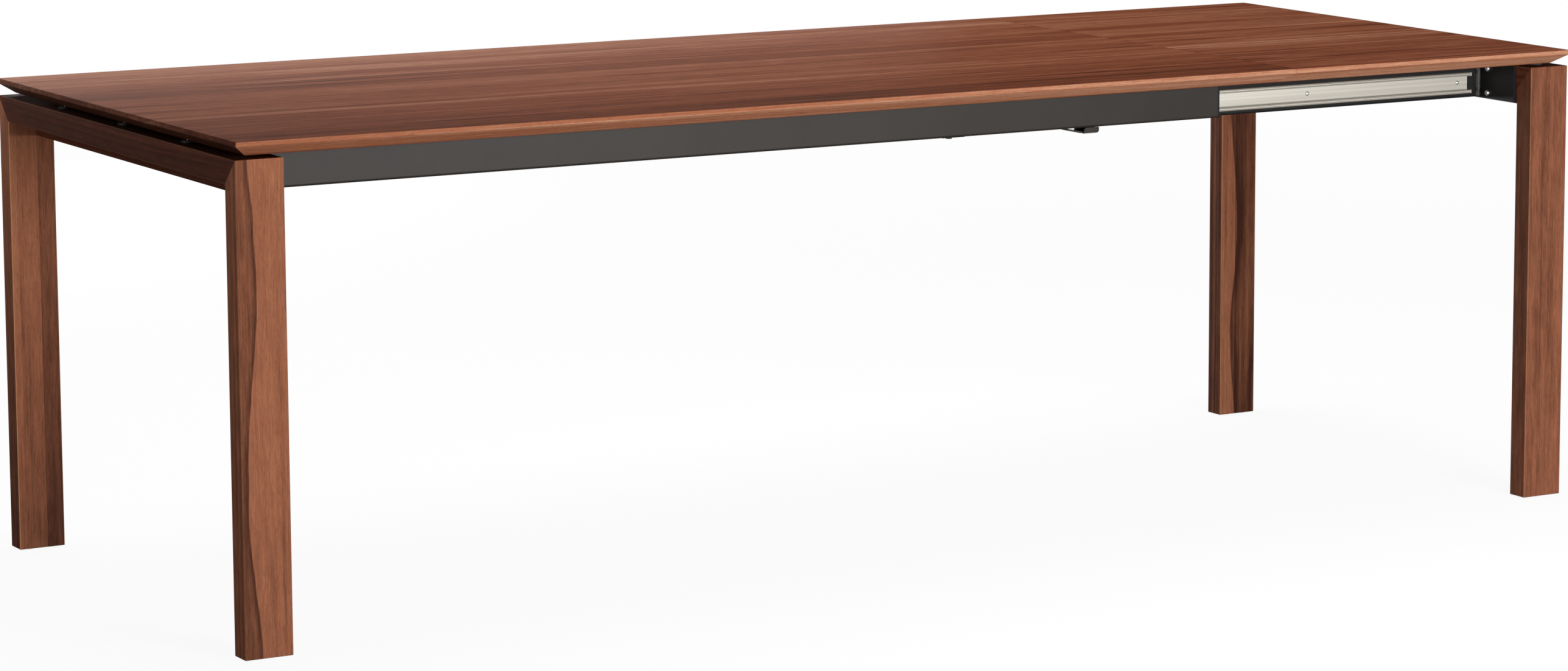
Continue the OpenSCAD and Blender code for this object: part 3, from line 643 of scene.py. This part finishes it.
aluminium, tree = new_material("anodised_aluminium_extrusion")
place = add(tree, "TexCoord", {}, out="Object")
lines = add(tree, "VectorMath", {0: place, 1: LINES_PER_METRE}, operation="MULTIPLY")
lines = add(tree, "TexNoise", {"Vector": lines, "Scale": 1.0, "Detail": 2.0})
bands = add(tree, "VectorMath", {0: place, 1: BANDS_PER_METRE}, operation="MULTIPLY")
bands = add(tree, "TexNoise", {"Vector": bands, "Scale": 1.0, "Detail": 2.0})
skin = colours(add(tree, "ValToRGB", {0: bands}),
               [(0.30, "#9b978e"), (0.50, "#a8a49b"), (0.70, "#b4b0a7")])
gloss = add(tree, "MapRange", {0: lines, 3: 0.48, 4: 0.62})
bump = add(tree, "Bump", {"Height": lines, "Distance": 0.02 * MM, "Strength": 0.4})
shader = add(tree, "BsdfPrincipled", {"Base Color": skin, "Metallic": 0.85, "Roughness": gloss,
                                      "Normal": bump})
add(tree, "OutputMaterial", {"Surface": shader})
print(aluminium.name, len(tree.nodes), "nodes")

# %% [markdown]
# ## Small parts
#
# The screws are zinc plated and bright, with a faint blue and gold mottle that the passivation
# leaves. The rollers and glides are white nylon, the caps and plugs black polypropylene with a
# fine spark-eroded grain, the pads pressed felt, the bushes turned brass, and the dowels and the
# splines in the mitres are planed beech.

# %% Zinc, nylon, plastic, felt, brass and beech
def small_part(name, low, high, grain, rough, metallic=0.0, depth=0.05 * MM, stretch=(1, 1, 1),
               sheen=0.0, specular=0.5):
    """A finish with one grain size in metres that moves colour, gloss and relief together."""
    material, tree = new_material(name)
    place = add(tree, "TexCoord", {}, out="Object")
    place = add(tree, "Mapping", {"Vector": place, "Scale": stretch})
    grains = add(tree, "TexNoise", {"Vector": place, "Scale": 1 / grain, "Detail": 3.0})
    skin = colours(add(tree, "ValToRGB", {0: grains}), [(0.35, low), (0.65, high)])
    gloss = add(tree, "MapRange", {0: grains, 3: rough - 0.06, 4: rough + 0.06})
    bump = add(tree, "Bump", {"Height": grains, "Distance": depth, "Strength": 0.5})
    shader = add(tree, "BsdfPrincipled", {"Base Color": skin, "Metallic": metallic,
                                          "Roughness": gloss, "Normal": bump,
                                          "Sheen Weight": sheen,
                                          "Specular IOR Level": specular})
    add(tree, "OutputMaterial", {"Surface": shader})
    print(name, "grain", round(grain / MM, 2), "mm")
    return material


zinc = small_part("zinc_plated_steel", "#d6d8de", "#eeeae0", 2.5 * MM, 0.38, metallic=1.0,
                  depth=0.01 * MM)
nylon = small_part("moulded_white_nylon", "#d3d0c6", "#dfdcd3", 1.2 * MM, 0.42)
plastic = small_part("moulded_black_polypropylene", "#100f0f", "#191817", 0.6 * MM, 0.62,
                     specular=0.15)
felt = small_part("pressed_black_felt", "#161617", "#2c2c2e", 0.7 * MM, 0.95, depth=0.3 * MM,
                  sheen=0.3)
brass = small_part("turned_brass", "#a98643", "#c9a65c", 1.0 * MM, 0.30, metallic=1.0,
                   depth=0.01 * MM)
beech = small_part("planed_beech", "#b98a5e", "#d2a779", 1.5 * MM, 0.55, stretch=(0.1, 0.1, 1))
weld = small_part("painted_weld_bead", "#242321", "#2e2c2a", 1.5 * MM, 0.60)

# %% [markdown]
# ## Finishes on the drawn parts
#
# Most parts have their right shape already. Each one only gets its finish, by filling its
# material slots.

# %% Give each drawn part its finish
PARTS_OF = (
    (walnut_top, "main_top"),
    (walnut_leaf, "leaf_top"),
    (walnut_bar_with_shade, "left_crossbar right_crossbar left_inner_rail right_inner_rail"),
    (coat_grey, "fixed_beam_front fixed_beam_back lever_ears_front lever_ears_back "
                "clamp_lever_front clamp_lever_back"),
    (coat_black, "left_cross_plate right_cross_plate slide_beam_front slide_beam_back "
                 "cross_ties rear_tie rear_tie_bolts rail_stops"),
    (aluminium, "slide_rail_front slide_rail_back"),
    (plastic, "fixed_beam_caps slide_beam_plugs left_top_spacers"),
    (zinc, "left_plate_screws right_plate_screws left_top_screws tie_screws rail_screws "
           "roller_bolts"),
    (nylon, "left_glides right_glides roller_front_rear roller_front_fore roller_back_rear "
            "roller_back_fore"),
    (felt, "leaf_felt_pads"),
    (brass, "dowel_bushes"),
    (beech, "leaf_dowels left_splines right_splines"),
)
FINISHES = {node: finish for finish, names in PARTS_OF for node in names.split()}
FINISHES.update(walnut_legs)
for node, finish in FINISHES.items():
    slots = nodes[node].data.materials
    slots.clear()
    slots.append(finish)
print("without a finish:", sorted(set(nodes) - set(FINISHES)))

# %% [markdown]
# ## Worked edges
#
# A joiner takes the sharp edge off every board with a plane and paper, and that narrow round
# catches the light as a fine bright line. The drawn boards are sharp, so each is copied, its
# triangles are merged to whole faces, and the long edges are rounded in edit mode. The copy takes
# the drawn board's place. The mitres stay sharp, as they must where two boards are glued. A drawn
# part carries its own shading normals, which would be wrong on new faces, so the copy drops them.
#
# Three helpers come first. One selects a single object, one makes the merged copy, and one finds
# the edges to work on by their ends.

# %% Helpers for selecting and copying
SAME_POINT = 0.002 * MM
FLAT = math.radians(0.5)


def only(piece):
    bpy.ops.object.select_all(action="DESELECT")
    piece.select_set(True)
    bpy.context.view_layer.objects.active = piece


def whole_faces(node):
    """A merged copy of a drawn part, left in edit mode."""
    piece = bpy.data.objects.new(node, nodes[node].data.copy())
    scene.collection.objects.link(piece)
    only(piece)
    bpy.ops.mesh.customdata_custom_splitnormals_clear()
    bpy.ops.object.mode_set(mode="EDIT")
    bpy.ops.mesh.select_all(action="SELECT")
    bpy.ops.mesh.remove_doubles(threshold=SAME_POINT)
    bpy.ops.mesh.dissolve_limited(angle_limit=FLAT)
    return piece


def select_edges(piece, wanted):
    """Leaves the piece in edit mode with the edges selected whose two ends please `wanted`."""
    bpy.ops.mesh.select_mode(type="EDGE")
    bpy.ops.mesh.select_all(action="DESELECT")
    bpy.ops.object.mode_set(mode="OBJECT")
    points = piece.data.vertices
    for edge in piece.data.edges:
        edge.select = bool(wanted(*(points[v].co for v in edge.vertices)))
    bpy.ops.object.mode_set(mode="EDIT")
    return sum(edge.select for edge in piece.data.edges)


print("points closer than", round(SAME_POINT / MM, 3), "mm are one")

# %% [markdown]
# A finished piece is handed over by one more helper. It puts the piece's place into its mesh,
# shades it smooth with its flat faces kept flat, and gives it its name and finish. Then it hangs
# the piece on the empty of the body it rides on and, unless it is new, hides the drawn part it
# stands for.

# %% Hand a finished piece over
record = frame["record"]
body_of = {n: body for body, members in record["behaviour"]["bodies"].items() for n in members}


def hand_over(piece, name, node, finish, smooth=40, replace=True):
    only(piece)
    bpy.ops.object.transform_apply(location=True, rotation=True, scale=True)
    bpy.ops.object.shade_smooth_by_angle(angle=math.radians(smooth))
    even = piece.modifiers.new("flat faces stay flat", "WEIGHTED_NORMAL")
    even.keep_sharp = True
    bpy.ops.object.modifier_apply(modifier=even.name)
    piece.name = piece.data.name = name
    piece.data.materials.clear()
    piece.data.materials.append(finish)
    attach(piece, body_of[node])
    if replace:
        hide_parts(node)


# %% [markdown]
# A leg is rounded by 1 mm along its four corners and round its foot. The crossbars and the inner
# rails are rounded by 0.8 mm along their length.

# %% Round the boards of the leg frames
LEG_ROUND = 1.0 * MM
BAR_ROUND = 0.8 * MM
LONG_EDGE = 100 * MM


def work_edges(node, width, wanted):
    piece = whole_faces(node)
    count = select_edges(piece, wanted)
    bpy.ops.mesh.bevel(offset=width, segments=3, affect="EDGES")
    bpy.ops.object.mode_set(mode="OBJECT")
    name = node + "_planed"
    print(name, count, "edges,", len(piece.data.polygons), "faces")
    hand_over(piece, name, node, FINISHES[node])


def along_axis(axis):
    def wanted(a, b):
        run = b - a
        return run.length > LONG_EDGE and abs(run[axis]) > 0.999 * run.length
    return wanted


upright = along_axis(2)
for node in walnut_legs:
    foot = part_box(node)[0].z
    work_edges(node, LEG_ROUND, lambda a, b: upright(a, b) or max(a.z, b.z) < foot + 0.1 * MM)
for node in ("left_crossbar", "right_crossbar", "left_inner_rail", "right_inner_rail"):
    work_edges(node, BAR_ROUND, along_axis(1))

# %% [markdown]
# ## Caps, plugs, levers, rollers and glides
#
# Moulded and pressed parts have no sharp edges either: plastic needs a radius to leave the mould,
# and a stamped strip is tumbled. Here every sharp edge counts, so a Bevel modifier with an angle
# limit finds them and is applied.

# %% Round the small parts
def tumble(node, name, width, segments=2):
    piece = whole_faces(node)
    bpy.ops.object.mode_set(mode="OBJECT")
    edges = piece.modifiers.new("tumbled edges", "BEVEL")
    edges.width = width
    edges.segments = segments
    edges.limit_method = "ANGLE"
    edges.angle_limit = math.radians(40)
    bpy.ops.object.modifier_apply(modifier=edges.name)
    print(name, len(piece.data.polygons), "faces")
    hand_over(piece, name, node, FINISHES[node])


tumble("fixed_beam_caps", "beam_caps_moulded", 0.7 * MM, segments=3)
tumble("slide_beam_plugs", "beam_plugs_moulded", 0.6 * MM)
for side in ("front", "back"):
    tumble("clamp_lever_" + side, "clamp_lever_tumbled_" + side, 0.5 * MM)
    tumble("lever_ears_" + side, "lever_ears_tumbled_" + side, 0.3 * MM)
    for end in ("rear", "fore"):
        tumble("roller_" + side + "_" + end, "roller_turned_" + side + "_" + end, 0.6 * MM)
for side in ("left", "right"):
    tumble(side + "_glides", side + "_glides_moulded", 0.8 * MM)
    tumble(side + "_cross_plate", side + "_plate_deburred", 0.4 * MM)
tumble("rear_tie", "rear_tie_deburred", 0.3 * MM)

# %% [markdown]
# ## C rails
#
# The lips of an extruded rail are thin, so the die gives them a shallow groove that shows as a
# dark line between two bright ones. The long face of each lip is inset by 1.3 mm and pressed in by
# 0.9 mm, on a merged copy of the drawn rail.

# %% Groove the lips of the rails
LIP_RIM = 1.3 * MM
GROOVE = 0.9 * MM


def groove_lips(node, name, way):
    piece = whole_faces(node)
    low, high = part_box(node)
    face = high.y if way > 0 else low.y
    bpy.ops.mesh.select_mode(type="FACE")
    bpy.ops.mesh.select_all(action="DESELECT")
    bpy.ops.object.mode_set(mode="OBJECT")
    for side in piece.data.polygons:
        side.select = abs(side.center.y - face) < 0.05 * MM and abs(side.normal.y) > 0.9
    count = sum(side.select for side in piece.data.polygons)
    bpy.ops.object.mode_set(mode="EDIT")
    bpy.ops.mesh.inset(thickness=LIP_RIM, depth=-GROOVE)
    bpy.ops.object.mode_set(mode="OBJECT")
    print(name, count, "lips grooved,", len(piece.data.polygons), "faces")
    hand_over(piece, name, node, aluminium)


groove_lips("slide_rail_front", "slide_rail_grooved_front", -1)
groove_lips("slide_rail_back", "slide_rail_grooved_back", 1)

# %% [markdown]
# ## Screws
#
# The rail is held by low button heads with a hexagon socket, and the plates by pan heads with a
# cross recess. The drawn screws are one mesh per set, so `solids` takes a copy apart to find each
# screw's box.

# %% Find the separate solids of a drawn part
def solids(node):
    copy = bpy.data.objects.new("measured", nodes[node].data.copy())
    scene.collection.objects.link(copy)
    only(copy)
    bpy.ops.object.mode_set(mode="EDIT")
    bpy.ops.mesh.select_all(action="SELECT")
    bpy.ops.mesh.remove_doubles(threshold=SAME_POINT)
    bpy.ops.mesh.separate(type="LOOSE")
    bpy.ops.object.mode_set(mode="OBJECT")
    meshes = [part.data for part in bpy.context.selected_objects]
    bpy.ops.object.delete()
    boxes = []
    for mesh in meshes:
        points = [v.co for v in mesh.vertices]
        boxes.append((Vector([min(p[i] for p in points) for i in range(3)]),
                      Vector([max(p[i] for p in points) for i in range(3)])))
        bpy.data.meshes.remove(mesh)
    return sorted(boxes, key=lambda b: tuple(b[0]))


for node in ("rail_screws", "left_plate_screws", "right_plate_screws"):
    found = solids(node)
    low, high = found[0]
    print(node, len(found), "of", [round(c / MM, 2) for c in high - low], "mm")

# %% [markdown]
# Each kind of screw is made once, at the origin with its head up. Its recess is cut by a Boolean
# modifier, and its shank is joined on below.

# %% Cut a recess and join a shank
SHANK_SIDES = 20


def cut(piece, tool):
    only(piece)
    boolean = piece.modifiers.new("recess", "BOOLEAN")
    boolean.operation = "DIFFERENCE"
    boolean.object = tool
    bpy.ops.object.modifier_apply(modifier=boolean.name)
    mesh = tool.data
    bpy.data.objects.remove(tool)
    bpy.data.meshes.remove(mesh)


def add_shank(piece, diameter, length):
    bpy.ops.mesh.primitive_cylinder_add(vertices=SHANK_SIDES, radius=diameter / 2, depth=length,
                                        location=(0, 0, -length / 2))
    piece.select_set(True)
    bpy.context.view_layer.objects.active = piece
    bpy.ops.object.join()
    print("a screw of", len(piece.data.polygons), "faces")
    return piece


print("a shank has", SHANK_SIDES, "sides")

# %% [markdown]
# A button head is the cap of a ball: a sphere is cut by a plane with bisect and filled. Its
# socket is cut by a short hexagonal bar.

# %% Model the button head screw
BUTTON_HEAD = 1.8 * MM
SOCKET_LIFT = 0.15


def button_screw(head_d, head_h, shank_d, shank_len, socket):
    ball = (head_d ** 2 / 4 + head_h ** 2) / (2 * head_h)
    bpy.ops.object.select_all(action="DESELECT")
    bpy.ops.mesh.primitive_uv_sphere_add(segments=40, ring_count=40, radius=ball,
                                         location=(0, 0, head_h - ball))
    piece = bpy.context.object
    bpy.ops.object.transform_apply(location=True, rotation=False, scale=False)
    bpy.ops.object.mode_set(mode="EDIT")
    bpy.ops.mesh.select_all(action="SELECT")
    bpy.ops.mesh.bisect(plane_co=(0, 0, 0), plane_no=(0, 0, 1), clear_inner=True, use_fill=True)
    bpy.ops.object.mode_set(mode="OBJECT")
    bpy.ops.mesh.primitive_cylinder_add(vertices=6, radius=socket / 2 / math.cos(math.pi / 6),
                                        depth=head_h,
                                        location=(0, 0, head_h + SOCKET_LIFT * head_h))
    cut(piece, bpy.context.object)
    return add_shank(piece, shank_d, shank_len)


button = button_screw(7.0 * MM, BUTTON_HEAD, 4.0 * MM, 10 * MM, 2.5 * MM)

# %% [markdown]
# A pan head is a disc with a well rounded rim. Its cross recess is cut by two crossed blades.

# %% Model the pan head screw
PAN_HEAD = 3.5 * MM
RIM_ROUND = 0.55
BLADE_THICK = 0.22
BLADE_DEEP = 0.9


def pan_screw(head_d, head_h, shank_d, shank_len, blade):
    bpy.ops.object.select_all(action="DESELECT")
    bpy.ops.mesh.primitive_cylinder_add(vertices=40, radius=head_d / 2, depth=head_h,
                                        location=(0, 0, head_h / 2))
    piece = bpy.context.object
    bpy.ops.object.transform_apply(location=True, rotation=False, scale=False)
    bpy.ops.object.mode_set(mode="EDIT")
    select_edges(piece, lambda a, b: min(a.z, b.z) > head_h - 0.01 * MM)
    bpy.ops.mesh.bevel(offset=RIM_ROUND * head_h, segments=6, affect="EDGES")
    bpy.ops.object.mode_set(mode="OBJECT")
    for turn in (0, math.pi / 2):
        bpy.ops.mesh.primitive_cube_add(size=1, location=(0, 0, head_h), rotation=(0, 0, turn))
        tool = bpy.context.object
        tool.scale = (blade, BLADE_THICK * blade, BLADE_DEEP * head_h)
        cut(piece, tool)
    return add_shank(piece, shank_d, shank_len)


pan = pan_screw(9.5 * MM, PAN_HEAD, 5.0 * MM, 28 * MM, 5.0 * MM)

# %% [markdown]
# The models are copied to where the drawn screws sit and turned the way the heads face. The rails'
# screws face outwards, so on the front rail they face the front and on the back rail the back.

# %% Set the screws
def set_screws(model, node, name, axis, head_h):
    """Copies the model onto each drawn screw; axis is the way the heads face."""
    placed = []
    for low, high in solids(node):
        middle = (low + high) / 2
        way = Vector(axis)
        up = "Y"
        if axis[1]:
            way.y = math.copysign(1, middle.y)
            up = "X"
        turn = way.to_track_quat("Z", up).to_matrix().to_4x4()
        half = (high - low) / 2
        face = middle + Vector([way[i] * half[i] for i in range(3)])
        copy = bpy.data.objects.new(name, model.data.copy())
        scene.collection.objects.link(copy)
        copy.matrix_world = Matrix.Translation(face - way * head_h) @ turn
        placed.append(copy)
    bpy.ops.object.select_all(action="DESELECT")
    for copy in placed:
        copy.select_set(True)
    bpy.context.view_layer.objects.active = placed[0]
    bpy.ops.object.join()
    print(name, len(placed), "screws,", len(placed[0].data.polygons), "faces")
    hand_over(placed[0], name, node, zinc)


set_screws(button, "rail_screws", "rail_button_screws", (0, 1, 0), BUTTON_HEAD)
set_screws(pan, "left_plate_screws", "left_pan_screws", (1, 0, 0), PAN_HEAD)
set_screws(pan, "right_plate_screws", "right_pan_screws", (-1, 0, 0), PAN_HEAD)
for model in (button, pan):
    bpy.data.objects.remove(model)

# %% [markdown]
# ## Weld beads
#
# Each sliding beam is welded to the end plate up its outer face. A hand-laid bead is a row of
# overlapping puddles, each 2 to 3 mm further on. Here a flattened ball is repeated by an Array
# modifier, voxels melt the row to one skin, and a cloud texture pushes it a little out of true.

# %% Lay the weld beads
BEAD = 5.3 * MM
SQUAT = 0.7
PUDDLE = 2.8 * MM


def weld_bead(name, node, x, y, low, high):
    bpy.ops.object.select_all(action="DESELECT")
    bpy.ops.mesh.primitive_uv_sphere_add(segments=24, ring_count=16, radius=BEAD,
                                         location=(x, y, low + SQUAT * BEAD))
    piece = bpy.context.object
    piece.scale = (1.0, 1.0, SQUAT)
    bpy.ops.object.transform_apply(location=True, rotation=False, scale=True)
    row = piece.modifiers.new("puddles", "ARRAY")
    row.use_relative_offset = False
    row.use_constant_offset = True
    row.constant_offset_displace = (0, 0, PUDDLE)
    row.count = int((high - low - 2 * SQUAT * BEAD) / PUDDLE) + 1
    melt = piece.modifiers.new("melt", "REMESH")
    melt.mode = "VOXEL"
    melt.voxel_size = 0.6 * MM
    lump = piece.modifiers.new("lumps", "DISPLACE")
    lump.texture = bpy.data.textures.new("slag", "CLOUDS")
    lump.texture.noise_scale = 5 * MM
    lump.strength = 0.7 * MM
    lump.mid_level = 0.5
    for modifier in (row, melt, lump):
        bpy.ops.object.modifier_apply(modifier=modifier.name)
    print(name, len(piece.data.polygons), "faces")
    hand_over(piece, name, node, weld, smooth=80, replace=False)


plate_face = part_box("right_cross_plate")[0].x
for side, way in (("front", -1), ("back", 1)):
    low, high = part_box("slide_rail_" + side)
    web = low.y if way > 0 else high.y
    beam_low, beam_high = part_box("slide_beam_" + side)
    weld_bead("weld_bead_" + side, "slide_beam_" + side, plate_face - 0.5 * MM,
              web + way * 0.4 * MM, beam_low.z, beam_high.z)
